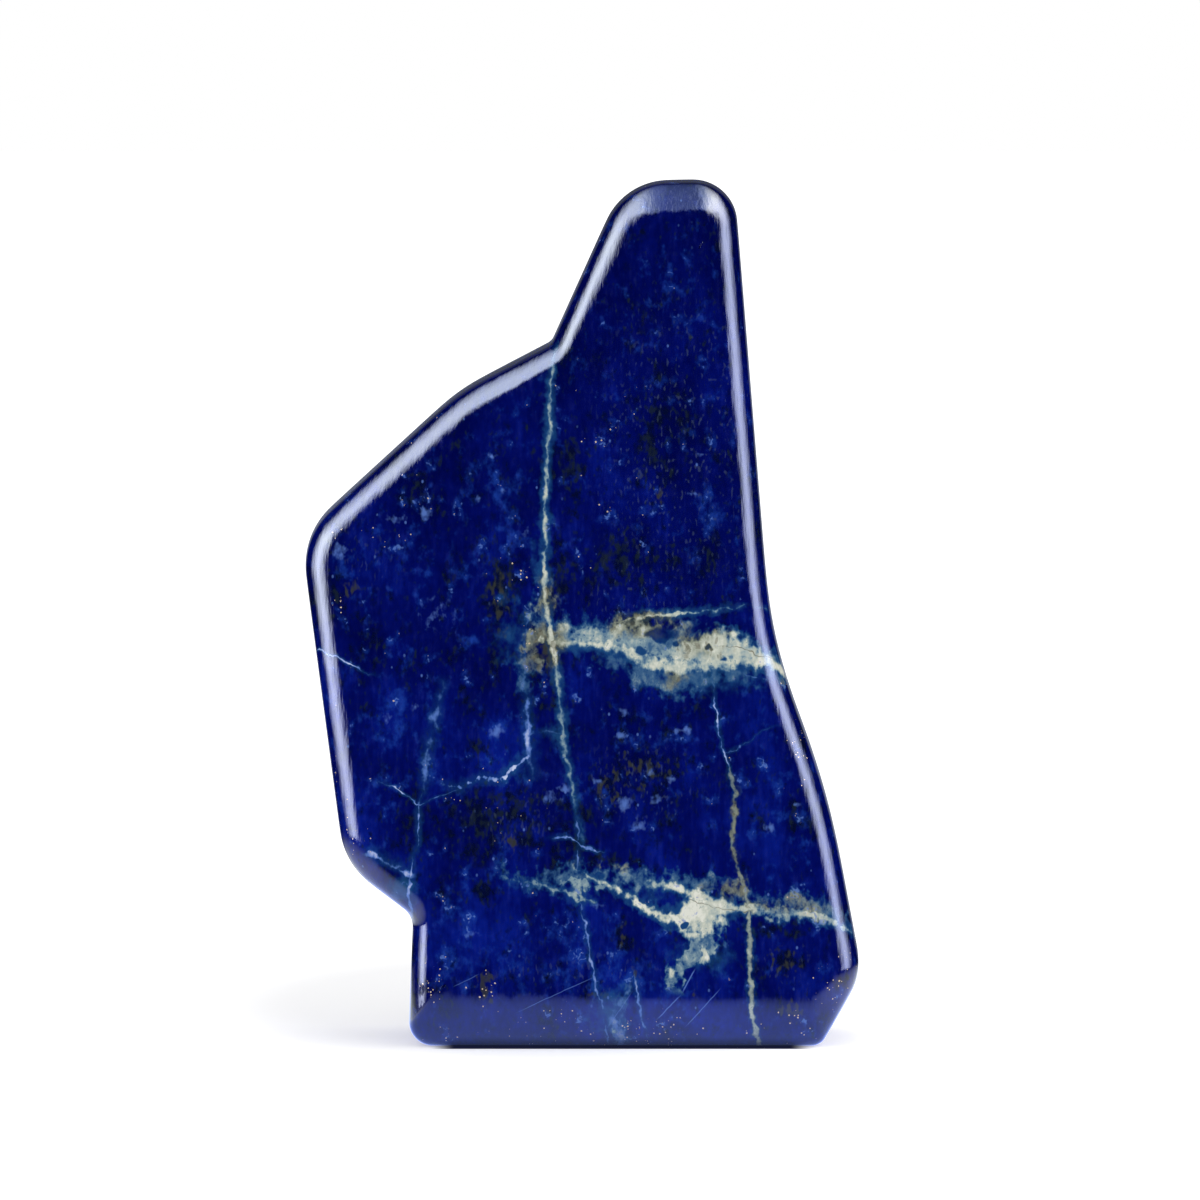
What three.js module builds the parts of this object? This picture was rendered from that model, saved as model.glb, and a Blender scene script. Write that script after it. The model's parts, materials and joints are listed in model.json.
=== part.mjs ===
// A polished freeform of lapis lazuli. It is one stone, ground into an upright slab with
// soft edges, a narrow top and a wide foot that is sawn flat, so that it stands by itself.
// Millimetres, +Z up. The show face looks towards -Y, and the origin is on the ground
// under the middle of the stone.

import * as THREE from 'three';

// Corners of the slab's outline, anticlockwise from the left end of the foot as the show
// face is seen. round is the corner's own radius. before and after are how far in from the
// outline the two edges that meet at the corner are rounded over there.
const outline = [
  { x: -24, z: 0, round: 3.3, before: 3.6, after: 7.6 }, // left end of the foot
  { x: 33.2, z: 0, round: 2.2, before: 6.4, after: 4.6 }, // right end of the foot
  { x: 39, z: 10, round: 8.5, before: 3.4, after: 4.3 }, // widest point, above the slanted heel
  { x: 34.4, z: 34.4, round: 100, before: 4.5, after: 4.5 }, // swell of the right flank
  { x: 26.4, z: 56.3, round: 62, before: 4.5, after: 4.5 }, // waist of the right flank
  { x: 21.2, z: 119.9, round: 6.2, before: 4.6, after: 8 }, // right shoulder of the top
  { x: 5.9, z: 119.6, round: 9.6, before: 8, after: 7.4 }, // left shoulder of the top
  { x: -4.2, z: 97.2, round: 2, before: 4, after: 3.8 }, // notch where the neck meets the slope
  { x: -17.1, z: 90.5, round: 28, before: 5.8, after: 5.8 }, // bend of the slope
  { x: -39, z: 70.4, round: 10.5, before: 6.2, after: 5.6 }, // left corner
  { x: -33, z: 25.2, round: 11, before: 4.8, after: 3.8 }, // lower left corner
  { x: -23.4, z: 18, round: 3, before: 3.2, after: 2.8 }, // inner corner above the foot
];

// The two faces are flat and lean towards each other, so the stone thins towards the top.
const frontDepth = 15;
const frontLean = 0.042;
const backDepth = 14.6;
const backLean = 0.032;
const backTwist = 0.03;

// Depth of the rounding at each face, and how far the flanks bulge between the two, as
// a share of the rounding. The foot has no bulge, because it is sawn flat.
const frontRounding = 3.6;
const backRounding = 6.5;
const flankBulge = 0.03;

// Corners of the faces stay at least this round.
const tightest = 0.6;

// Fineness of the faceted surface.
const arcStep = THREE.MathUtils.degToRad(7.5);
const fewestArcSteps = 3;
const edgeStep = 8;
const roundingSteps = 7;
const flankSteps = 4;

const polish = { color: '#0b1a6b', roughness: 0.12, metalness: 0 };

const count = outline.length;
const next = (i) => (i + 1) % count;
const previous = (i) => (i + count - 1) % count;
const place = (corner) => new THREE.Vector2(corner.x, corner.z);
const inward = (along) => new THREE.Vector2(-along.y, along.x);

const turnBetween = (arriving, leaving) => Math.atan2(arriving.cross(leaving), arriving.dot(leaving));

// What stays the same for a corner at every depth: the way in to the corner of the face,
// the radius at the outline and at the face, and the number of facets.
function describeCorner(corner, i) {
  const at = place(corner);
  const arriving = at.clone().sub(place(outline[previous(i)])).normalize();
  const leaving = place(outline[next(i)]).sub(at);
  const edgeLength = leaving.length();
  leaving.normalize();

  const { before, after } = corner;
  const cosine = arriving.dot(leaving);
  const wayIn = inward(arriving)
    .multiplyScalar((before - cosine * after) / (1 - cosine ** 2))
    .addScaledVector(inward(leaving), (after - cosine * before) / (1 - cosine ** 2));

  const turn = turnBetween(arriving, leaving);
  const meanEase = (before + after) / 2;
  return {
    at,
    wayIn,
    round: corner.round,
    faceRound: Math.max(corner.round - Math.sign(turn) * meanEase, tightest),
    bulge: corner.z > 0 ? flankBulge : 0,
    arcSteps: Math.max(fewestArcSteps, Math.ceil(Math.abs(turn) / arcStep)),
    edgeSteps: Math.max(1, Math.round(edgeLength / edgeStep)),
  };
}

const corners = outline.map(describeCorner);

// The arc that rounds one corner of a ring, from the edge before it to the edge after it.
function cornerArc(before, at, after, radius, steps) {
  const back = before.clone().sub(at).normalize();
  const ahead = after.clone().sub(at).normalize();
  const halfAngle = Math.acos(back.dot(ahead)) / 2;
  const turn = turnBetween(back.clone().negate(), ahead);
  const start = at.clone().addScaledVector(back, radius / Math.tan(halfAngle));
  const middle = back.clone().add(ahead).setLength(radius / Math.sin(halfAngle)).add(at);
  const points = [];
  for (let k = 0; k <= steps; k += 1) {
    points.push(start.clone().rotateAround(middle, (turn * k) / steps));
  }
  return points;
}

// One ring around the stone. rounded runs from 0 at the outline to 1 at the face, and
// bulged from 0 in the middle of the flank to 1 at its edges.
function ring(rounded, bulged) {
  const shares = corners.map(({ bulge }) => bulge * bulged + (1 - bulge * bulged) * rounded);
  const places = corners.map(({ at, wayIn }, i) => at.clone().addScaledVector(wayIn, shares[i]));
  const arcs = corners.map(({ round, faceRound, arcSteps }, i) => {
    const radius = THREE.MathUtils.lerp(round, faceRound, shares[i]);
    return cornerArc(places[previous(i)], places[i], places[next(i)], radius, arcSteps);
  });
  return arcs.flatMap((arc, i) => {
    const edge = [];
    const from = arc.at(-1);
    const to = arcs[next(i)][0];
    for (let k = 1; k < corners[i].edgeSteps; k += 1) {
      edge.push(from.clone().lerp(to, k / corners[i].edgeSteps));
    }
    return [...arc, ...edge];
  });
}

const frontY = (point) => frontLean * point.y - frontDepth;
const backY = (point) => backDepth - backLean * point.y - backTwist * point.x;

// Every ring with its depth, from the show face round the flank to the back.
function slabLevels() {
  const levels = [];
  for (let k = roundingSteps; k > 0; k -= 1) {
    const angle = (Math.PI / 2) * (k / roundingSteps);
    const depth = frontRounding * (1 - Math.sin(angle));
    levels.push({ points: ring(1 - Math.cos(angle), 1), y: (p) => frontY(p) + depth });
  }
  for (let k = 0; k <= flankSteps; k += 1) {
    const across = k / flankSteps;
    const bulged = (1 + Math.cos(2 * Math.PI * across)) / 2;
    const y = (p) => THREE.MathUtils.lerp(frontY(p) + frontRounding, backY(p) - backRounding, across);
    levels.push({ points: ring(0, bulged), y });
  }
  for (let k = 1; k <= roundingSteps; k += 1) {
    const angle = (Math.PI / 2) * (k / roundingSteps);
    const depth = backRounding * (1 - Math.sin(angle));
    levels.push({ points: ring(1 - Math.cos(angle), 1), y: (p) => backY(p) - depth });
  }
  return levels;
}

// The closed skin: bands of two triangles between neighbouring rings, and a flat cap on
// the first and the last ring.
function slabGeometry() {
  const levels = slabLevels();
  const size = levels[0].points.length;
  const positions = levels.flatMap(({ points, y }) => points.flatMap((p) => [p.x, y(p), p.y]));
  const faces = [];
  for (let level = 0; level + 1 < levels.length; level += 1) {
    for (let i = 0; i < size; i += 1) {
      const j = (i + 1) % size;
      const near = level * size;
      const far = near + size;
      faces.push(near + i, far + i, far + j, near + i, far + j, near + j);
    }
  }
  const lastRing = (levels.length - 1) * size;
  for (const [a, b, c] of THREE.ShapeUtils.triangulateShape(levels[0].points, [])) {
    faces.push(a, b, c);
  }
  for (const [a, b, c] of THREE.ShapeUtils.triangulateShape(levels.at(-1).points, [])) {
    faces.push(lastRing + a, lastRing + c, lastRing + b);
  }
  const geometry = new THREE.BufferGeometry();
  geometry.setAttribute('position', new THREE.Float32BufferAttribute(positions, 3));
  geometry.setIndex(faces);
  geometry.computeVertexNormals();
  return geometry;
}

// Moves the origin to the ground under the middle of the stone.
function standOnOrigin(geometry) {
  geometry.computeBoundingBox();
  const middle = geometry.boundingBox.getCenter(new THREE.Vector3());
  geometry.translate(-middle.x, -middle.y, -geometry.boundingBox.min.z);
  return geometry;
}

const stone = new THREE.Mesh(standOnOrigin(slabGeometry()), new THREE.MeshStandardMaterial(polish));
stone.name = 'stone';

const freeform = new THREE.Group();
freeform.add(stone);

export default freeform;
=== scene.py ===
import json
from math import cos, radians, sin

import bpy
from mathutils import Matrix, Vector

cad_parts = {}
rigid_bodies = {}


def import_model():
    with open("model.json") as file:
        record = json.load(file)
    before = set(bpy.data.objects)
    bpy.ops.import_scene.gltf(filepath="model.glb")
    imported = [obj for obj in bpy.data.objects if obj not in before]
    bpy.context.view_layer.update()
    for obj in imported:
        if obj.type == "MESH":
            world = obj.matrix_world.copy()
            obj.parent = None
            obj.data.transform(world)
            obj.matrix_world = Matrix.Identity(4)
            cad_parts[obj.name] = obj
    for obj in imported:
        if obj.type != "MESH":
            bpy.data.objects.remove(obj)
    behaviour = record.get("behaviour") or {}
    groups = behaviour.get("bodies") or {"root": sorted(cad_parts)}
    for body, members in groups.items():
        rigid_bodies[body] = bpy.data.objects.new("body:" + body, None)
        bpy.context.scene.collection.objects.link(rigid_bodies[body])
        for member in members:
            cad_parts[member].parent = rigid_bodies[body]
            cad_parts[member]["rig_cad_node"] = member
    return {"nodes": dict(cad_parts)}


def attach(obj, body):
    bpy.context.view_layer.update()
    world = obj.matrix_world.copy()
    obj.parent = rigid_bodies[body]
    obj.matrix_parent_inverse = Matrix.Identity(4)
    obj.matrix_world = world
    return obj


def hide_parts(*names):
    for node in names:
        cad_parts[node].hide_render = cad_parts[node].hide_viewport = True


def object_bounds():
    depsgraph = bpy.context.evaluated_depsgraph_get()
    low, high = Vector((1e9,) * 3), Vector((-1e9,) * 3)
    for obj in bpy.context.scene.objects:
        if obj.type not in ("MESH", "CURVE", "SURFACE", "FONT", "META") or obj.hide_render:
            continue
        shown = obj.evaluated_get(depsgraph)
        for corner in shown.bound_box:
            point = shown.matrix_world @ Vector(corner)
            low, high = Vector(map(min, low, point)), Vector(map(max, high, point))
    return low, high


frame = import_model()
cadLow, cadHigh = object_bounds()
print("frame loaded")


def deselectAll():
    bpy.ops.object.select_all(action="DESELECT")


def addNode(tree, kind, settings=None, inputs=None, output=0):
    made = tree.nodes.new("ShaderNode" + kind)
    for name, value in (settings or {}).items():
        if name == "stops":
            fillRamp(made.color_ramp, value)
        else:
            setattr(made, name, value)
    for name, value in (inputs or {}).items():
        if isinstance(value, Wire):
            tree.links.new(value.socket, made.inputs[name])
        else:
            made.inputs[name].default_value = value
    return made if output is None else Wire(made, output)


def fillRamp(ramp, stops):
    while len(ramp.elements) > 1:
        ramp.elements.remove(ramp.elements[-1])
    for number, (position, colour) in enumerate(stops):
        stop = ramp.elements[0] if number == 0 else ramp.elements.new(position)
        stop.position = position
        stop.color = colour if len(colour) == 4 else (*colour, 1)


class Wire:
    # one output of a node, so that shader maths reads as Python
    def __init__(self, node, output=0):
        self.node = node
        self.socket = node.outputs[output]

    def out(self, output):
        return Wire(self.node, output)

    def maths(self, operation, *values):
        return addNode(self.node.id_data, "Math", {"operation": operation}, dict(enumerate(values)))

    def vector(self, operation, *values, output=0):
        inputs = dict(enumerate((self, *values)))
        if operation == "SCALE":
            inputs = {0: self, 3: values[0]}
        return addNode(self.node.id_data, "VectorMath", {"operation": operation}, inputs, output)

    def __add__(self, other):
        return self.maths("ADD", self, other)

    def __radd__(self, other):
        return self.maths("ADD", other, self)

    def __sub__(self, other):
        return self.maths("SUBTRACT", self, other)

    def __rsub__(self, other):
        return self.maths("SUBTRACT", other, self)

    def __mul__(self, other):
        return self.maths("MULTIPLY", self, other)

    def __rmul__(self, other):
        return self.maths("MULTIPLY", other, self)

    def __truediv__(self, other):
        return self.maths("DIVIDE", self, other)

    def __abs__(self):
        return self.maths("ABSOLUTE", self)

    def reach(self, other):  # the length of the slant over both
        squares = self * self + other * other
        return squares.maths("SQRT", squares)

    def over(self, other):  # the larger of the two
        return self.maths("MAXIMUM", self, other)

    def fade(self, start, end):  # eases from 0 at start to 1 at end
        inputs = {"Value": self, "From Min": start, "From Max": end}
        return addNode(self.node.id_data, "MapRange", {"interpolation_type": "SMOOTHSTEP"}, inputs)

    def tint(self, colour, mask):  # this colour with another laid over it where the mask is 1
        inputs = {0: mask, 6: self, 7: colour}
        return addNode(self.node.id_data, "Mix", {"data_type": "RGBA"}, inputs, 2)


def screen(*parts):  # a colour as seen on screen, 0 to 255, as the shaders take it
    def linear(level):  # the standard screen curve
        return level / 12.92 if level < 0.0404 else ((level + 0.055) / 1.055) ** 2.4

    return (*(linear(part / 255) for part in parts), 1)


# camera
cameraLook = {
    "aim": (0.0025, 0, 0.06115),
    "distance": 1.6,
    "elevation": 4.0,  # degrees above the horizon
    "across": 0.16705,  # metres that the picture takes in at the stone
    "sensor": 36,  # millimetres
}


def makeCamera(look):
    aim = Vector(look["aim"])
    up = radians(look["elevation"])
    back = Vector((0, -cos(up), sin(up)))
    bpy.ops.object.camera_add(location=aim + back * look["distance"])
    camera = bpy.context.active_object
    camera.name = "studioCamera"
    camera.rotation_euler = (-back).to_track_quat("-Z", "Y").to_euler()
    camera.data.sensor_width = look["sensor"]
    camera.data.lens = look["sensor"] * look["distance"] / look["across"]
    bpy.context.scene.camera = camera


makeCamera(cameraLook)
print("camera placed")


# the stone
stoneLook = {
    "mergeWithin": 1e-6,
    "facing": 0.9,  # how far a face has to look forwards or backwards to count as one of the flat ones
    "parallel": 0.99,  # and how closely it has to follow the widest of them
    "flatWithin": 2e-6,
    "ringWidth": 0.0013,  # one ring along the rim eases each flat face into its rounding
    "cell": 0.006,  # squares that the flat faces are cut into
    "levels": 2,
}


def selectFaces(piece, chosen):
    bpy.ops.object.mode_set(mode="OBJECT")
    for face in piece.data.polygons:
        face.select = chosen(face)
    bpy.ops.object.mode_set(mode="EDIT")


def flatten(piece, side, look):
    # joins the flat face on one side into one polygon and cuts it into even squares
    bpy.ops.object.mode_set(mode="OBJECT")
    facing = [face for face in piece.data.polygons if face.normal.y * side > look["facing"]]
    widest = max(facing, key=lambda face: face.area)
    normal = widest.normal.copy()
    depth = widest.center.dot(normal)

    def isFlat(face):
        level = abs(face.center.dot(normal) - depth) < look["flatWithin"]
        return level and face.normal.dot(normal) > look["parallel"]

    selectFaces(piece, isFlat)
    bpy.ops.mesh.dissolve_faces()
    bpy.ops.mesh.inset(thickness=look["ringWidth"], depth=0)
    for axis in (0, 2):
        across = [0, 0, 0]
        across[axis] = 1
        cut = cadLow[axis] + look["cell"]
        while cut < cadHigh[axis]:
            bpy.ops.mesh.bisect(plane_co=[cut * share for share in across], plane_no=across)
            selectFaces(piece, lambda face: isFlat(face) and len(face.vertices) > 4)
            cut += look["cell"]


def makeStone(look):
    deselectAll()
    node = frame["nodes"]["stone"]
    node.select_set(True)
    bpy.context.view_layer.objects.active = node
    bpy.ops.object.duplicate()
    stone = bpy.context.active_object
    stone.name = "polishedStone"
    del stone["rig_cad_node"]
    bpy.ops.object.mode_set(mode="EDIT")
    bpy.ops.mesh.select_mode(type="FACE")
    bpy.ops.mesh.select_all(action="SELECT")
    bpy.ops.mesh.customdata_custom_splitnormals_clear()
    bpy.ops.mesh.remove_doubles(threshold=look["mergeWithin"])
    bpy.ops.mesh.tris_convert_to_quads()
    for side in (-1, 1):
        flatten(stone, side, look)
    bpy.ops.object.mode_set(mode="OBJECT")
    subdivision = stone.modifiers.new("soften", "SUBSURF")
    subdivision.levels = look["levels"]
    subdivision.render_levels = look["levels"]
    bpy.ops.object.modifier_apply(modifier="soften")
    bpy.ops.object.shade_smooth()
    return stone


stone = makeStone(stoneLook)
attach(stone, "root")
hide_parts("stone")
print("stone shaped:", len(stone.data.polygons), "faces")


socketKinds = {"VALUE": "NodeSocketFloat", "VECTOR": "NodeSocketVector", "RGBA": "NodeSocketColor"}


def grouped(name, build, **wires):
    # puts the nodes that build adds into a group of their own, and returns what comes out
    group = bpy.data.node_groups.new(name, "ShaderNodeTree")
    for key, wire in wires.items():
        group.interface.new_socket(key, in_out="INPUT", socket_type=socketKinds[wire.socket.type])
    entry = group.nodes.new("NodeGroupInput")
    made = build(**{key: Wire(entry, key) for key in wires})
    for key, wire in made.items():
        group.interface.new_socket(key, in_out="OUTPUT", socket_type=socketKinds[wire.socket.type])
    leave = group.nodes.new("NodeGroupOutput")
    for key, wire in made.items():
        group.links.new(wire.socket, leave.inputs[key])
    tree = next(iter(wires.values())).node.id_data
    return addNode(tree, "Group", {"node_tree": group}, wires, next(iter(made)))


# the stone's markings, in millimetres on its own axes
# A vein is a sheet that runs back through the stone. Each point of an upright vein is its
# height, how far right it lies, half its width and its strength. The points of a level
# vein start with how far right they are, and then say how high.
creamVeins = {
    "mainVein": {"upright": True, "frill": 0.35, "soft": 0.3, "reach": 1.15, "points": [
        (29, 0.2, 0.08, 0.35), (33, -0.8, 0.12, 0.45), (35.6, -1.3, 0.25, 0.6), (42.7, -2.5, 0.3, 0.64),
        (48, -3, 0.28, 0.66), (53, -3.6, 0.32, 0.8), (56.5, -4.3, 0.45, 0.95), (60, -4.8, 0.4, 0.9),
        (63.5, -5.2, 0.34, 0.85), (69, -5.1, 0.28, 0.82), (76, -5.1, 0.24, 0.78), (83, -4.7, 0.22, 0.74),
        (90, -4.3, 0.2, 0.72), (97.5, -4, 0.2, 0.7)]},
    "upperVein": {"upright": False, "frill": 0.5, "soft": 0.24, "reach": 1.2, "points": [
        (2.8, 58.7, 0.1, 0.35), (5.6, 59.2, 0.2, 0.6), (10, 59.8, 0.2, 0.85), (15.5, 60.4, 0.2, 0.8),
        (19.4, 60.8, 0.14, 0.6), (22.8, 61.4, 0.08, 0.4), (26, 61.3, 0.04, 0.3)]},
    "waistVein": {"upright": False, "frill": 1.3, "soft": 0.8, "reach": 2.6, "points": [
        (-5.7, 56.2, 0.3, 0.5), (-2.2, 56.1, 0.4, 0.74), (1.7, 56.1, 0.5, 0.88), (4.3, 55.8, 0.7, 0.92),
        (6.4, 55, 0.9, 0.92), (8.3, 53.9, 1, 0.92), (10.7, 53.1, 0.9, 0.9), (13.1, 52.9, 1, 0.9),
        (16.5, 53.2, 0.9, 0.85), (19.2, 53.4, 1.1, 0.85), (21.1, 53.8, 1.2, 0.9), (23.5, 54, 1.1, 0.9),
        (26.4, 53.5, 0.9, 0.95), (29.4, 53.2, 0.9, 0.95)]},
    "waistCrest": {"upright": False, "frill": 1.3, "soft": 0.7, "reach": 1.6, "points": [
        (-3.3, 58.5, 0.25, 0.5), (-1.6, 58, 0.3, 0.6), (0.2, 58.3, 0.3, 0.65), (1.7, 58.7, 0.35, 0.65),
        (3.6, 58.5, 0.4, 0.65), (5, 58.6, 0.35, 0.6), (6.9, 59.4, 0.3, 0.65), (9.7, 60, 0.3, 0.75),
        (13, 60.2, 0.1, 0.5)]},
    "waistPatch": {"upright": False, "frill": 2, "soft": 1, "reach": 1.4, "points": [
        (10.5, 54.4, 0.6, 0.5), (13, 54.8, 1.3, 0.72), (16, 55.1, 2.2, 0.8), (19.1, 55.4, 2.5, 0.86),
        (21.5, 55.2, 2.1, 0.9), (23.5, 54.6, 1.6, 0.9), (26, 54, 1, 0.9)]},
    "lowVein": {"upright": False, "frill": 1.2, "soft": 0.55, "reach": 1.5, "points": [
        (-1.6, 25.1, 0.11, 0.45), (-0.4, 24.6, 0.23, 0.7), (1.2, 23.7, 0.3, 0.9), (3.4, 22.9, 0.39, 0.95),
        (6.4, 21.1, 0.41, 0.95), (9.4, 18.9, 0.48, 1), (11.6, 18.2, 0.69, 1), (13.3, 18.4, 1.03, 1),
        (16.3, 18.9, 1.95, 1), (18.8, 19.5, 1.61, 0.95), (21.2, 19.4, 0.6, 0.88), (25.2, 19.3, 0.44, 0.76),
        (28, 18.4, 0.36, 0.68), (31, 18.8, 0.4, 0.76), (34.6, 17.7, 0.3, 0.76), (39.8, 15.6, 0.36, 0.86)]},
    "lowTail": {"upright": False, "frill": 1, "soft": 0.35, "reach": 1.4, "points": [
        (-11.2, 23.8, 0.12, 0.4), (-8.3, 23.2, 0.16, 0.45), (-5.5, 22.8, 0.18, 0.55),
        (-2.8, 21.8, 0.22, 0.65), (-0.5, 20.9, 0.3, 0.7), (1.4, 20.6, 0.25, 0.6), (2.8, 20.2, 0.1, 0.35)]},
    "lowBranch": {"upright": False, "frill": 1.6, "soft": 0.7, "reach": 1.3, "points": [
        (7.8, 24.1, 0.17, 0.4), (9, 23.5, 0.36, 0.6), (10.8, 22.8, 0.43, 0.85), (12.7, 22.3, 0.6, 0.95),
        (14.4, 21.6, 0.84, 1), (16.3, 21.1, 0.96, 0.95), (18.3, 20.8, 0.6, 0.8), (20.2, 20.2, 0.34, 0.6)]},
    "lowLace": {"upright": False, "frill": 1.8, "soft": 0.4, "reach": 1.2, "points": [
        (-3.6, 22.6, 0.1, 0.4), (-1.6, 23.4, 0.4, 0.6), (0.6, 22.8, 0.7, 0.65), (2.4, 22.2, 0.5, 0.6),
        (4.6, 23.4, 0.4, 0.5), (6.8, 22.8, 0.3, 0.4)]},
    "rightFrill": {"upright": False, "frill": 2, "soft": 0.5, "reach": 1, "points": [
        (23, 19.2, 0.5, 0.5), (26, 19, 0.9, 0.6), (29, 18.6, 0.8, 0.55), (32, 18.9, 0.7, 0.5),
        (35, 18.4, 0.4, 0.4)]},
}
veils = {
    "waistVeil": {"upright": False, "frill": 2.2, "soft": 1.1, "reach": 1.6, "points": [
        (-7, 57.4, 0.8, 0.42), (-2, 57.2, 1.5, 0.62), (3, 57.1, 1.9, 0.7), (7, 56.8, 2.3, 0.66),
        (11, 56, 2.3, 0.6), (14, 56.6, 1.8, 0.46), (17, 58, 0.8, 0.3)]},
    "crossVeil": {"upright": True, "frill": 3.2, "soft": 1, "reach": 1.8, "points": [
        (49, -8, 0.5, 0.24), (53, -7.4, 1.3, 0.33), (56, -6.2, 1.8, 0.42), (59, -5.6, 1.5, 0.44),
        (62, -5.4, 1, 0.42), (65, -5.3, 0.6, 0.34)]},
    "underWaist": {"upright": False, "frill": 2.4, "soft": 1.2, "reach": 1.4, "points": [
        (1, 54.4, 0.5, 0.28), (4, 53.6, 1, 0.36), (8, 52, 1.4, 0.4), (11, 51, 1.6, 0.44),
        (13.6, 50.6, 1.6, 0.42), (17, 51.2, 1, 0.38), (21, 51.8, 0.8, 0.34), (26, 51.8, 0.6, 0.32),
        (30, 51.6, 0.5, 0.3)]},
    "lowFan": {"upright": True, "frill": 3.2, "soft": 0.6, "reach": 1.2, "points": [
        (8.6, 13, 0.7, 0.5), (10.6, 12.8, 1.1, 0.6), (12.4, 15.2, 1.9, 0.64), (14.4, 16.8, 2.2, 0.64),
        (16.6, 16.8, 2.4, 0.6), (18.4, 17, 1.6, 0.4)]},
    "lowHalo": {"upright": False, "frill": 2.8, "soft": 1.1, "reach": 1.4, "points": [
        (-11, 24.4, 0.4, 0.32), (-6, 23.4, 0.8, 0.4), (-2, 23.8, 1.2, 0.46), (3, 23.8, 1.3, 0.5),
        (8, 23.2, 1.1, 0.45), (14, 23.2, 1, 0.42), (19, 22.4, 1.1, 0.42), (26, 20.6, 1, 0.4),
        (33, 19.4, 0.9, 0.4), (38, 17.4, 0.6, 0.35)]},
    "footVeil": {"upright": True, "frill": 2.2, "soft": 0.9, "reach": 1.3, "points": [
        (1.4, 4.8, 0.7, 0.3), (3, 4.4, 0.9, 0.34), (5.4, 4.6, 0.9, 0.34), (7.2, 6, 0.6, 0.3),
        (9, 7, 0.3, 0.2)]},
}
oliveVeins = {
    "rightVein": {"upright": True, "frill": 0.35, "soft": 0.26, "reach": 0.9, "points": [
        (1.2, 24.1, 0.33, 0.8), (6.5, 23.5, 0.29, 0.85), (13.7, 23.2, 0.31, 0.85), (20, 23, 0.29, 0.8),
        (22.4, 22.3, 0.2, 0.64), (27.6, 20.9, 0.28, 0.56), (30, 20.8, 0.3, 0.6), (33.7, 21.2, 0.22, 0.56),
        (35.4, 21.3, 0.36, 0.66), (37, 20.7, 0.3, 0.6), (39.1, 20.2, 0.12, 0.5)]},
}
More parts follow.
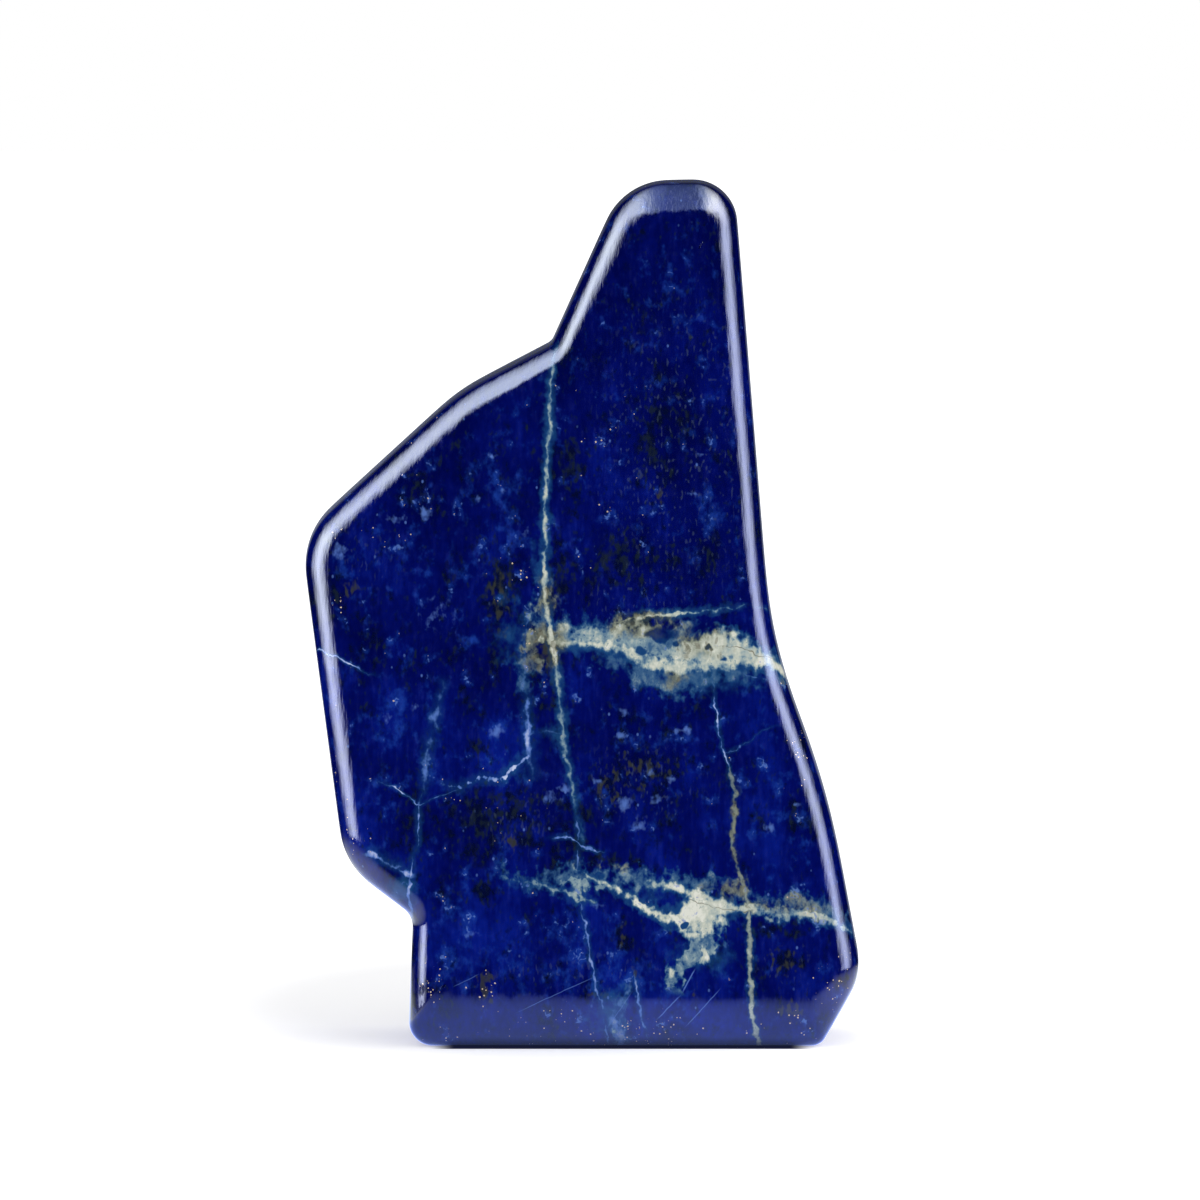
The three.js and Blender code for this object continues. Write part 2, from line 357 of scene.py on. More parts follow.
blueVeins = {
    "rightThread": {"upright": True, "frill": 0.2, "soft": 0.12, "reach": 0.5, "points": [
        (39, 20.2, 0.08, 0.6), (42, 19.4, 0.08, 0.8), (44.5, 18.9, 0.06, 0.7), (48, 18.4, 0.04, 0.6),
        (52, 18.1, 0.02, 0.4)]},
    "mainVeinFoot": {"upright": True, "frill": 0.3, "soft": 0.14, "reach": 0.7, "points": [
        (1.5, 3.2, 0.1, 0.45), (5, 2.9, 0.1, 0.5), (8, 2.2, 0.1, 0.55), (14.4, 0.8, 0.1, 0.55),
        (20, -0.1, 0.08, 0.45), (24.7, -0.8, 0.08, 0.5), (29, -0.3, 0.06, 0.45), (34.5, -1.2, 0.06, 0.5)]},
    "leftVein": {"upright": True, "frill": 0.3, "soft": 0.14, "reach": 0.8, "points": [
        (19, -24.2, 0.2, 0.3), (21, -24, 0.2, 0.45), (22.5, -23.9, 0.16, 0.6), (25.3, -23.6, 0.1, 0.65),
        (29, -22.7, 0.1, 0.7), (33.6, -22.5, 0.1, 0.65), (34.6, -22.4, 0.06, 0.4)]},
    "leftVeinTop": {"upright": True, "frill": 0.8, "soft": 0.5, "reach": 1.2, "points": [
        (35.2, -22, 0.14, 0.28), (38.4, -21.8, 0.3, 0.4), (42, -21.1, 0.3, 0.42), (46.6, -20, 0.3, 0.38),
        (50.2, -19.3, 0.15, 0.26)]},
    "greyVein": {"upright": True, "frill": 0.7, "soft": 0.4, "reach": 1.4, "points": [
        (38.3, -6.8, 0.2, 0.5), (40.3, -7.2, 0.24, 0.5), (43.2, -7.5, 0.4, 0.6), (47.3, -7.7, 0.12, 0.5),
        (50.4, -8, 0.1, 0.45), (54.4, -8, 0.2, 0.4), (59.3, -7.6, 0.18, 0.35)]},
    "footCloud": {"upright": True, "frill": 1.2, "soft": 0.6, "reach": 1.4, "points": [
        (0.6, 5.3, 0.5, 0.5), (2.4, 4.7, 0.6, 0.75), (4.4, 4.4, 0.6, 0.8), (5.6, 4.8, 0.4, 0.66),
        (7, 5.7, 0.3, 0.5), (8.2, 6.5, 0.2, 0.4)]},
    "shortVein": {"upright": True, "frill": 0.3, "soft": 0.14, "reach": 0.7, "points": [
        (2.4, 8.7, 0.08, 0.3), (5, 8.1, 0.12, 0.5), (8, 7.5, 0.14, 0.6), (9.5, 7.2, 0.08, 0.4)]},
    "squiggle": {"upright": False, "frill": 1, "soft": 0.18, "reach": 1.3, "points": [
        (-18.6, 36.6, 0.04, 0.35), (-16.7, 36.3, 0.1, 0.6), (-13.9, 37.3, 0.1, 0.6), (-12, 37.2, 0.1, 0.6),
        (-10.6, 38.1, 0.16, 0.85), (-8.6, 39.4, 0.2, 0.75), (-6.6, 40.8, 0.08, 0.5)]},
    "leftCrack": {"upright": False, "frill": 0.1, "soft": 0.1, "reach": 0.4, "points": [
        (-36.7, 55.7, 0.12, 0.9), (-34.1, 54.4, 0.12, 0.9), (-32, 53.3, 0.1, 0.7), (-29.5, 51.7, 0.03, 0.3)]},
    "shoulderVein": {"upright": False, "frill": 1, "soft": 0.34, "reach": 1.4, "points": [
        (-29.8, 27.1, 0.2, 0.45), (-28.6, 26.5, 0.34, 0.7), (-26.5, 25.6, 0.36, 0.75),
        (-24.9, 24.7, 0.3, 0.7), (-23.8, 23.9, 0.2, 0.5)]},
    "fork": {"upright": False, "frill": 0.1, "soft": 0.1, "reach": 0.4, "points": [
        (-27.3, 36.8, 0.02, 0.4), (-25.8, 36.1, 0.06, 0.8), (-22.8, 34, 0.1, 0.85), (-21.7, 34, 0.06, 0.5),
        (-17.5, 35.8, 0.04, 0.3)]},
    "knot": {"upright": False, "frill": 0.3, "soft": 0.12, "reach": 0.5, "points": [
        (-4, 29.2, 0.04, 0.4), (-1.6, 29.2, 0.08, 0.6), (0.2, 28, 0.16, 0.9), (1.1, 27.6, 0.26, 0.95),
        (2.1, 27.1, 0.1, 0.7)]},
    "bridge": {"upright": False, "frill": 0.5, "soft": 0.3, "reach": 0.9, "points": [
        (-7.4, 43.7, 0.14, 0.4), (-3, 43.8, 0.11, 0.35)]},
    "twig": {"upright": False, "frill": 0.2, "soft": 0.12, "reach": 0.4, "points": [
        (20.3, 41, 0.08, 0.4), (24.9, 43.7, 0.04, 0.35), (27, 44.6, 0.03, 0.2)]},
    "waistTail": {"upright": False, "frill": 0.4, "soft": 0.2, "reach": 0.6, "points": [
        (21.6, 52.1, 0.1, 0.3), (22.6, 51.5, 0.16, 0.5), (25.3, 51.1, 0.14, 0.5), (26.3, 50.8, 0.1, 0.2)]},
}
stainedCracks = {
    "lowCrack": {"upright": False, "frill": 0.1, "soft": 0.08, "reach": 0.3, "points": [
        (13.5, 21.5, 0.03, 0.8), (16.3, 20.1, 0.04, 1), (19.8, 19.2, 0.04, 0.9), (22.6, 19, 0.08, 1)]},
    "waistCrack": {"upright": False, "frill": 0.1, "soft": 0.08, "reach": 0.3, "points": [
        (19.6, 55.7, 0.04, 0.7), (22.1, 55.3, 0.06, 1), (24.8, 54.3, 0.06, 0.9), (27, 53.9, 0.03, 0.6)]},
}

# soft spots: how far right, how high, half their width, half their height and strength
lapisSpots = {
    "creamSpots": [
        (16.6, 18.2, 4.8, 4.4, 1), (17, 12.9, 1.1, 2.2, 0.95), (12.7, 10.6, 1.1, 1.4, 0.7),
        (4.7, 2.2, 0.8, 1.3, 0.7), (15.6, 15.6, 2.4, 1.4, 0.75), (-5.4, 56.2, 1.2, 1.6, 0.5),
        (28.4, 53.4, 1.6, 1.8, 0.9)],
    "creamHoles": [
        (13, 19.7, 1.3, 1.5, 1), (2.2, 23.9, 1.1, 0.6, 1), (15.9, 57.9, 1.5, 1, 0.8), (11, 57.2, 3, 1.5, 1),
        (8.2, 54.9, 1.2, 0.8, 0.8), (17.4, 55.5, 0.9, 0.7, 0.8), (19.6, 53.8, 0.8, 0.6, 0.7),
        (13, 55.9, 0.7, 0.6, 0.8), (14.3, 17.1, 0.8, 0.7, 0.9), (18.6, 16.2, 0.9, 0.9, 0.7),
        (25.6, 52.6, 1.4, 0.7, 0.7)],
    "warmSpots": [
        (8, 58.6, 7, 2.6, 1), (17, 56, 6, 3.4, 0.9), (-5, 55.5, 4.5, 5, 1), (-4.5, 62, 3, 5, 0.7),
        (26, 19.6, 10, 2.6, 0.45), (12.6, 51.4, 3, 2.4, 0.5), (22.2, 30, 4, 12, 0.8), (20, 22, 5, 2.6, 0.6),
        (3, 25.4, 6, 1.6, 0.5)],
    "paleSpots": [
        (-33.4, 68.9, 1.5, 1.5, 0.8), (-21.7, 74, 1.3, 1.1, 0.8), (-10.9, 77.1, 0.9, 0.6, 0.7),
        (-14.3, 75.8, 1, 0.9, 0.6), (-7.7, 71.5, 1, 0.9, 0.6), (-12.3, 82, 0.9, 0.6, 0.5),
        (-11.7, 43.9, 1.3, 1.2, 1), (-26.9, 45.6, 1.5, 1.1, 0.5), (-23.1, 47.3, 1.1, 1, 0.5),
        (6, 34, 1.8, 1.8, 0.9), (10.8, 34.4, 1.5, 1.4, 0.7), (8, 30.9, 1.8, 1.8, 0.45),
        (12.4, 37.4, 1, 0.9, 0.9), (26.1, 30.8, 1.4, 1.4, 0.8), (29.6, 33.7, 0.9, 0.5, 0.8),
        (16.3, 82, 0.9, 0.5, 0.6), (15.3, 76.5, 0.8, 0.5, 0.6), (-2.3, 35.9, 1.7, 0.9, 1),
        (2.1, 37.2, 1.1, 0.8, 0.7), (23.3, 79.7, 0.6, 1.8, 0.8), (9.7, 38.5, 1.5, 0.8, 0.5),
        (2.5, 19.9, 1.5, 0.9, 0.7), (-15.5, 15.7, 2.3, 1.1, 0.4), (5.1, 5.1, 2.4, 2.2, 0.6),
        (19.1, 14.4, 2.2, 1.8, 0.5), (-4, 34.9, 2.2, 1.6, 0.6), (14, 44, 2, 0.8, 0.8),
        (5.4, 43, 1.6, 0.9, 0.8), (5.8, 46.4, 0.9, 0.9, 0.7), (-25.6, 73.2, 2.4, 1, 0.5),
        (-20, 60, 5, 4, 0.3)],
    "tealClouds": [
        (-10, 56.6, 4, 4.6, 0.6), (-3.7, 43.4, 3.6, 2.3, 0.5), (-9.6, 39, 4, 3, 0.5),
        (16.3, 51, 12, 3, 0.7), (1.1, 56.6, 8, 3.4, 0.9), (13.6, 22, 11, 3.6, 0.6),
        (16.3, 13, 7, 4, 0.8), (3.9, 4.7, 4.6, 4.6, 0.8), (-25.1, 22.3, 3.6, 3.6, 0.8), (-6, 66, 1.6, 9, 0.5),
        (-5, 88, 1.2, 10, 0.4), (26, 52, 4, 3, 0.5), (-10, 62, 2.6, 3.4, 0.4), (-6, 23, 6, 2, 0.5)],
    "blueClouds": [
        (-24.4, 54.8, 4, 2.6, 1), (-15.3, 56.5, 2.4, 2, 1), (-12, 77, 6, 5, 0.8), (-10, 71, 4, 4, 0.7),
        (-26, 46, 7, 6, 0.8), (-11.5, 44, 3.4, 2.6, 0.9), (-10.6, 39.6, 5, 3, 0.8), (-33, 66, 2.4, 3, 1),
        (-20, 68, 10, 6, 0.4), (19, 74, 7, 14, 0.5), (4, 10, 24, 9, 0.6), (-16, 14, 8, 9, 0.6),
        (26, 32, 8, 10, 0.6), (12, 44, 12, 4, 0.6), (14, 104, 9, 10, 0.3), (3, 35, 8, 3, 0.5),
        (-14, 24, 8, 4, 0.4), (-26, 34, 6, 5, 0.5)],
    "darkPatches": [
        (-11.3, 62.7, 4, 9, 0.9), (-1.1, 80, 2.4, 8, 0.8), (9.7, 85.5, 4, 14, 0.6),
        (-14.4, 42, 2.3, 2.5, 0.9), (-11.6, 31.6, 12, 6, 0.9), (3.9, 36.5, 3.6, 4.2, 0.8),
        (10.1, 37.9, 8, 6, 0.7), (-14.1, 22, 3, 3, 0.8), (5.5, 15.7, 1.4, 3, 1), (28.1, 12, 3.3, 2.5, 0.9),
        (24.6, 31.6, 2.5, 3.6, 0.5), (5.3, 67.5, 9, 6, 0.8), (-23.8, 30.3, 3.6, 10, 0.5),
        (-15.5, 48.2, 2.5, 2.3, 0.6), (-5.8, 53.7, 4.5, 5.5, 0.6), (8, 59.2, 5, 2.4, 1),
        (-3.4, 66, 2.4, 9, 0.7), (-5, 47.6, 3, 4, 0.7), (27, 16.6, 8, 2, 0.8), (3, 26.4, 8, 2, 0.7),
        (-2, 32, 6, 4, 0.6)],
    "brownSpots": [
        (-32, 63.7, 1.7, 1.8, 0.7), (-9.7, 28.5, 1.8, 1.7, 0.8), (10.8, 76.5, 1.1, 1.4, 0.7),
        (5.5, 15.7, 0.9, 2.4, 0.9), (7.3, 10.2, 0.8, 1.1, 0.7), (28.1, 12, 3, 2.4, 0.7),
        (-4.8, 54.4, 2.1, 2.3, 0.9), (17, 55.8, 1.3, 1, 0.9), (19.1, 54.7, 1, 0.8, 0.9),
        (22.8, 19.5, 0.9, 0.8, 0.9), (3.9, 36.5, 3, 3.6, 0.6), (8, 38.5, 6.5, 3.8, 0.5),
        (6.4, 58.8, 3, 1.8, 0.9), (-11.3, 62, 2.6, 6, 0.5), (19.1, 20, 2.6, 0.8, 0.6),
        (-7.4, 56.2, 1.2, 1.6, 0.9), (-13.4, 8.4, 1.7, 3.6, 1), (3, 7.4, 3, 1, 0.6), (29, 5.2, 2.4, 2.4, 0.9),
        (15.6, 8, 0.8, 1.8, 0.7), (-10.4, 57.6, 1, 1.4, 0.8)],
    "dustSpots": [
        (14, 84, 16, 30, 0.8), (8, 63, 10, 7, 0.7), (8, 37, 12, 8, 0.7), (-10, 32, 10, 8, 0.5),
        (-30, 68, 8, 8, 0.4), (28, 12, 6, 5, 0.6), (0, 10, 20, 6, 0.5)],
    "pyriteSpots": [
        (-29, 71, 12, 2, 0.24), (-33.4, 62, 2.4, 3.4, 0.4), (-13.4, 8.2, 1.8, 4.4, 0.7),
        (-2, 4.6, 3, 3.4, 0.5), (5, 2.8, 34, 5, 0.3), (28.8, 4.2, 2.2, 2.6, 0.8), (36.5, 12.5, 2.6, 4, 0.5),
        (34.5, 8.2, 4, 5, 0.4), (-20.5, 8.5, 2.6, 6, 0.44), (-33.4, 36, 2.4, 8, 0.4),
        (-31.4, 29, 2.6, 4, 0.5), (26.2, 88, 2.6, 6, 0.44), (27, 72, 2.4, 14, 0.36), (30, 40, 3, 14, 0.3),
        (-7, 62, 8, 12, 0.18), (2, 84, 8, 20, 0.16), (-12, 33, 12, 8, 0.18)],
}

# scratches: both ends, half the width and strength
scratches = [
    (-9.5, 4.8, 2.5, 10.3, 0.1, 0.45), (-18, 8.5, -14, 10.4, 0.1, 0.35), (10.2, 3.8, 13.8, 7.6, 0.11, 0.7),
    (13.8, 7.6, 15.7, 11.2, 0.13, 0.8), (14, 2.6, 19.4, 8.6, 0.1, 0.6), (3.2, 2.4, 7.2, 8.2, 0.1, 0.35)]

# each texture: size of one blot in millimetres, packing upwards (below 1 draws it out), detail
# and roughness
lapisTextures = {
    "swelling": (6, 1, 0, 0.5),
    "broad": (7, 0.6, 3, 0.55),
    "wisps": (2.2, 0.8, 3, 0.6),
    "blots": (1.5, 0.7, 3, 0.6),
    "fine": (0.9, 0.7, 2, 0.5),
    "specked": (0.7, 0.6, 1, 0.5),
    "streaks": (0.6, 0.16, 2, 0.6),
    "grain": (0.35, 1, 1, 0.5),
    "dust": (0.4, 0.5, 0, 0.5),
    "rubbing": (1.6, 0.5, 0, 0.5),
}

# each layer: levels of its texture between which it comes in, the same for the field that it
# keeps to, and its strength
lapisLayers = {
    "cloudBlue": {"comesIn": (0.54, 0.88), "strength": 0.7},
    "ink": {"comesIn": (0.54, 0.78), "strength": 0.95},
    "olive": {"comesIn": (0.62, 0.86), "strength": 0.85},
    "brown": {"comesIn": (0.3, 0.9), "keptTo": (0, 0.3), "strength": 0.75},
    "tealClouds": {"comesIn": (0.05, 0.9), "keptTo": (0, 0.2), "strength": 0.8},
    "paleSpots": {"comesIn": (0.2, 0.95), "keptTo": (0, 0.2), "strength": 0.75},
    "blueVeins": {"comesIn": (0.02, 0.5), "strength": 0.9},
    "fringe": {"comesIn": (0.1, 1), "keptTo": (0, 0.3), "strength": 0.75},
    "creamSpots": {"comesIn": (0.05, 0.6), "keptTo": (0, 0.25), "strength": 0.95},
    "holes": {"comesIn": (0.3, 0.9), "strength": 0.85},
    "stainSpots": {"comesIn": (0.8, 0.92), "strength": 0.5},
    "calcite": {"comesIn": (0.02, 0.58), "keptTo": (0, 0.1), "strength": 1},
    "dust": {"comesIn": (0.64, 0.82), "keptTo": (0, 0.6), "strength": 0.22},
    "specks": {"comesIn": (0.11, 0.04), "keptTo": (0.5, 0.9), "strength": 0.6},
    "curls": {"comesIn": (0.5, 0.9), "keptTo": (0.64, 0.7), "strength": 0.6},
    "pyrite": {"comesIn": (0.36, 0.24), "keptTo": (1.15, 1.2), "strength": 1},
}

lapisLook = {
    "frontDepth": 15.13,  # the show face, behind which the veins lean
    "frontLean": 0.042,
    "lean": (-0.22, 0, 0.3),  # how the veins lean for each millimetre of depth
    "driftSize": 11,  # bends of the veins, in millimetres, and how far they go for each one of depth
    "driftReach": 0.5,
    "jitterSize": 2,  # ragged edges, and how far they go
    "jitterReach": 1.5,
    "scratchJitter": 0.2,  # the share of it that the scratches get
    "swellDepth": (4, 12),  # depths between which the veins begin to swell and shrink
    "swellMiddle": 0.45,
    "swellReach": 5,
    "wideThreads": 2.2,
    "narrowThreads": 1.1,
    "frill": {"wide": 0.22, "narrow": 0.12, "wisps": 1.5, "fine": 1.2, "level": 0.16},
    "ground": {"broad": 1.1, "streaks": 0.3, "fine": 0.35, "clouds": 0.14, "level": 0.42,
               "darkening": 0.0022},  # for each millimetre of height
    "patchPull": 0.26,  # how much easier the mottling comes in inside a dark patch
    "warmLevels": (0.15, 0.6),
    "pinholeLevels": (0.57, 0.68),
    "crackLevels": (0.5, 0.8),
    "crackStrength": 0.85,
    "speckSize": 2,
    "speckPacking": 0.7,
    "pyriteSize": 0.4,
    "pyriteColour": 0.85,
    "pyriteMetal": 0.2,
    "pyriteRoughness": 0.3,
    "brushedLevels": (0.5, 0.66),
    "brushedRoughness": 0.07,
    "roughness": 0.06,
    "polishMarks": 8e-5,  # depth of the rubbing marks, in metres
    "nightBlue": screen(0, 4, 66),
    "navy": screen(1, 9, 88),
    "ultramarine": screen(5, 24, 122),
    "cloudBlue": screen(26, 64, 156),
    "ink": screen(3, 9, 40),
    "olive": screen(20, 30, 42),
    "brown": screen(50, 52, 48),
    "dust": screen(84, 100, 118),
    "teal": screen(24, 68, 116),
    "steel": screen(84, 116, 188),
    "lavender": screen(190, 200, 228),
    "greyBlue": screen(62, 96, 130),
    "greyGreen": screen(124, 147, 156),
    "darkOlive": screen(54, 66, 62),
    "oliveCalcite": screen(134, 140, 126),
    "cream": screen(186, 191, 178),
    "paleCream": screen(212, 213, 202),
    "stain": screen(88, 82, 64),
    "pyrite": (0.62, 0.46, 0.29, 1),
    "groundStops": [(0.1, "nightBlue"), (0.36, "navy"), (0.66, "ultramarine")],
    "blueStops": [(0.1, "teal"), (0.55, "steel"), (1, "lavender")],
    "coolStops": [(0.15, "teal"), (0.42, "greyBlue"), (0.66, "greyGreen"), (0.88, "cream"), (1, "paleCream")],
    "warmStops": [(0.15, "darkOlive"), (0.6, "oliveCalcite"), (0.86, "cream"), (1, "paleCream")],
}


def noise(place, size, detail=2, roughness=0.5, output="Fac"):  # size is that of one blot, in millimetres
    inputs = {"Vector": place, "Scale": 1 / size, "Detail": detail, "Roughness": roughness}
    return addNode(place.node.id_data, "TexNoise", inputs=inputs, output=output)


def threads(place, size, detail=1, thinness=7):  # thin curling lines, 1 along their middle
    return (1 - abs(noise(place, size, detail, 0.6) - 0.5) * thinness).over(0)


def ramp(value, stops):
    return addNode(value.node.id_data, "ValToRGB", {"stops": stops}, {"Fac": value})


def cover(name, texture, field=None):
    # how much of a layer shows
    layer = lapisLayers[name]
    shown = texture.fade(*layer["comesIn"])
    if field is not None:
        shown = shown * field.fade(*layer["keptTo"])
    return shown * layer["strength"]


def veinMasks(vein, x, z, frill, swell, runOut=1.5):
    # how strongly the vein itself shows, and the cloud around it
    along, across = (z, x) if vein["upright"] else (x, z)
    points = vein["points"]
    start, end = points[0][0] - runOut, points[-1][0] + runOut
    low, high = min(point[1] for point in points), max(point[1] for point in points)
    widest = max(point[2] for point in points)
    ends = [(start, *points[0][1:3], 0), *points, (end, *points[-1][1:3], 0)]
    stops = [((at - start) / (end - start), ((middle - low) / (high - low), half / widest, strength))
             for at, middle, half, strength in ends]
    route = ramp((along - start) / (end - start), stops)
    parts = addNode(route.node.id_data, "SeparateColor", inputs={0: route})
    away = abs(across - (parts.out("Red") * (high - low) + low))
    inside = parts.out("Green") * swell * widest - away + frill * vein["frill"]
    strength = parts.out("Blue")
    core = inside.fade(-vein["soft"], vein["soft"]) * strength
    return core, (inside + vein["reach"]).fade(0, vein["reach"]) * strength


def veinGroup(veins):
    def build(**wires):
        core = cloud = None
        for vein in veins.values():
            mask, around = veinMasks(vein, **wires)
            core = mask if core is None else core.over(mask)
            cloud = around if cloud is None else cloud.over(around)
        return {"core": core, "cloud": cloud}
    return build


def spotGroup(spots, leastDepth=2):
    # ellipsoids just behind the show face, strongest in the middle and gone at their rim
    def build(place):
        total = 0
        for right, up, halfWidth, halfHeight, strength in spots:
            deep = max(halfWidth, halfHeight, leastDepth)
            shrink = (1 / halfWidth, 1 / deep, 1 / halfHeight)
            middle = (right / halfWidth, 0, up / halfHeight)
            away = place.vector("MULTIPLY", shrink).vector("DISTANCE", middle, output="Value")
            total = away.maths("MULTIPLY_ADD", away, -strength, strength).over(total)
        return {"mask": total}
    return build


def scratchGroup(place):
    # straight lines, soft across and fading towards both ends
    total = 0
    for fromX, fromZ, toX, toZ, half, strength in scratches:
        length = ((toX - fromX) ** 2 + (toZ - fromZ) ** 2) ** 0.5
        alongX, alongZ = (toX - fromX) / length, (toZ - fromZ) / length
        offset = place.vector("SUBTRACT", (fromX, 0, fromZ))
        along = offset.vector("DOT_PRODUCT", (alongX, 0, alongZ), output="Value")
        across = abs(offset.vector("DOT_PRODUCT", (-alongZ, 0, alongX), output="Value"))
        ends = abs(along - length / 2).fade(length / 2, length / 4)
        total = (across.fade(half, half * 0.2) * ends * strength).over(total)
    return {"mask": total}


def makeLapis(look):
    material = bpy.data.materials.new("polishedLapis")
    material.use_nodes = True
    tree = material.node_tree
    shader = tree.nodes["Principled BSDF"]

    place = addNode(tree, "TexCoord", output="Object").vector("SCALE", 1000)
    sides = addNode(tree, "SeparateXYZ", inputs={0: place})
    height = sides.out("Z")
    depth = (sides.out("Y") + look["frontDepth"] - height * look["frontLean"]).over(0)
    facePlace = addNode(tree, "CombineXYZ", inputs={0: sides.out("X"), 1: depth, 2: height})

    def texture(name):
        size, packing, detail, roughness = lapisTextures[name]
        drawnOut = place if packing == 1 else place.vector("MULTIPLY", (1, 1, packing))
        return noise(drawnOut, size, detail, roughness)

    def colours(value, stops):
        return ramp(value, [(at, look[name]) for at, name in look[stops]])

    # places along the veins, which wander more the deeper they go
    half = (0.5, 0.5, 0.5)
    drift = noise(place, look["driftSize"], 0, output="Color").vector("SUBTRACT", half)
    drift = drift.vector("SCALE", depth * look["driftReach"])
    jitter = noise(place, look["jitterSize"], 2, 0.6, "Color").vector("SUBTRACT", half)
    jitter = jitter.vector("SCALE", look["jitterReach"])
    leaning = addNode(tree, "VectorMath", {"operation": "SCALE"}, {0: look["lean"], 3: depth})
    sheet = facePlace.vector("ADD", leaning).vector("ADD", drift).vector("ADD", jitter)
    sheet = addNode(tree, "SeparateXYZ", inputs={0: sheet})
    spotPlace = facePlace.vector("ADD", jitter)
    swelling = depth.fade(*look["swellDepth"]) * (texture("swelling") - look["swellMiddle"])
    swell = 1 + swelling * look["swellReach"]

    def spotField(name, at=spotPlace):
        return grouped(name, spotGroup(lapisSpots[name]), place=at)

    # textures that more than one marking uses
    curled = place.vector("ADD", jitter)
    wide = threads(curled, look["wideThreads"])
    narrow = threads(curled, look["narrowThreads"])
    fine, grain, wisps, broad = texture("fine"), texture("grain"), texture("wisps"), texture("broad")
    streaks, specked, blots = texture("streaks"), texture("specked"), texture("blots")
    part = look["frill"]
    frill = wide * part["wide"] + narrow * part["narrow"] + (wisps - 0.5) * part["wisps"]
    frill = frill + (fine - 0.5) * part["fine"] - part["level"]

    # the blue ground: fine upright streaks on broad clouds
    cloudField = spotField("blueClouds")
    part = look["ground"]
    tone = (broad - 0.5) * part["broad"] + (streaks - 0.5) * part["streaks"] + (fine - 0.5) * part["fine"]
    tone = tone + cloudField * part["clouds"] + part["level"] - height * part["darkening"]
    colour = colours(tone, "groundStops")
    blobs = wisps + (fine - 0.5) * 0.3 + cloudField * 0.17
    colour = colour.tint(look["cloudBlue"], cover("cloudBlue", blobs))

    # dark and olive mottling
    patches = spotField("darkPatches").over((broad - 0.45) * -4)  # also where the broad clouds are low
    colour = colour.tint(look["ink"], cover("ink", blots + patches * look["patchPull"]))
    colour = colour.tint(look["olive"], cover("olive", specked + patches * look["patchPull"]))
    brownField = spotField("brownSpots")
    colour = colour.tint(look["brown"], cover("brown", brownField + (specked - 0.5) * 2.6, brownField))

    # pale blue clouds and spots
    tealField = spotField("tealClouds")
    clouds = tealField + frill * 0.4 + (wisps - 0.5)
    colour = colour.tint(look["teal"], cover("tealClouds", clouds, tealField))
    paleField = spotField("paleSpots")
    paleness = paleField + (fine - 0.5) * 1.4 + frill * 0.3
    colour = colour.tint(look["steel"], cover("paleSpots", paleness, paleField))

    # veins
    routes = {"x": sheet.out("X"), "z": sheet.out("Z"), "frill": frill, "swell": swell}
    blue = grouped("blueVeins", veinGroup(blueVeins), **routes)
    olive = grouped("oliveVeins", veinGroup(oliveVeins), **routes)
    cream = grouped("creamVeins", veinGroup(creamVeins), **routes)
    veil = grouped("veils", veinGroup(veils), **routes)
    stain = grouped("stainedCracks", veinGroup(stainedCracks), **routes)
    warmth = (spotField("warmSpots") * 1.1 + (wisps - 0.5) * 1.5).fade(*look["warmLevels"])
    pinholes = (grain * 0.6 + specked * 0.4).fade(*look["pinholeLevels"])

    blueLevel = blue * ((wisps - 0.5) * 2.6 + (fine - 0.5) * 1.2 + 0.92)
    colour = colour.tint(look["teal"], blue.out("cloud") * (0.25 + wisps) * 0.7)
    colour = colour.tint(colours(blueLevel, "blueStops"), cover("blueVeins", blueLevel))

    fringe = cream.out("cloud").over(olive.out("cloud") * 0.6).over(veil.out("cloud") * 0.9)
    ends = {0: warmth * 0.75, 6: look["teal"], 7: look["darkOlive"]}
    fringeColour = addNode(tree, "Mix", {"data_type": "RGBA"}, ends, 2)
    colour = colour.tint(fringeColour, cover("fringe", fringe + frill * 0.4, fringe))

    creamField = spotField("creamSpots")
    level = cream.over(cover("creamSpots", creamField + frill * 0.6, creamField))
    level = level.over(olive * 0.8).over(veil * (0.85 + (wisps - 0.5) * 1.4 + narrow * 0.12))
    level = level * (1 - cover("holes", spotField("creamHoles") * 1.6 + frill * 0.8))
    shade = level * (0.94 + (wisps - 0.5) * 0.7) + (fine - 0.5) * 0.5
    shade = shade + (grain - 0.5) * 0.2 - pinholes * 0.22
    warmShare = warmth.over(olive.fade(0.2, 0.5) * 0.6)
    calcite = colours(shade, "coolStops").tint(colours(shade, "warmStops"), warmShare)
    calcite = calcite.tint(look["stain"], cover("stainSpots", specked + fine * 0.5) * warmth)
    colour = colour.tint(calcite, cover("calcite", level + (fine - 0.5) * 0.4, level))
    colour = colour.tint(look["stain"], stain * level.fade(*look["crackLevels"]) * look["crackStrength"])

    # fine pale dust, bright specks, curls and scratches
    colour = colour.tint(look["dust"], cover("dust", texture("dust"), spotField("dustSpots")))
    packed = place.vector("MULTIPLY", (1, 1, look["speckPacking"]))
    cells = addNode(tree, "TexVoronoi", inputs={"Vector": packed, "Scale": 1 / look["speckSize"]})
    chance = addNode(tree, "SeparateColor", inputs={0: cells.out("Color")})
    colour = colour.tint(look["steel"], cover("specks", cells, chance.out("Red")))
    colour = colour.tint(look["steel"], cover("curls", narrow, wisps))
    scratchPlace = facePlace.vector("ADD", jitter.vector("SCALE", look["scratchJitter"]))
    colour = colour.tint(look["steel"], grouped("scratches", scratchGroup, place=scratchPlace))

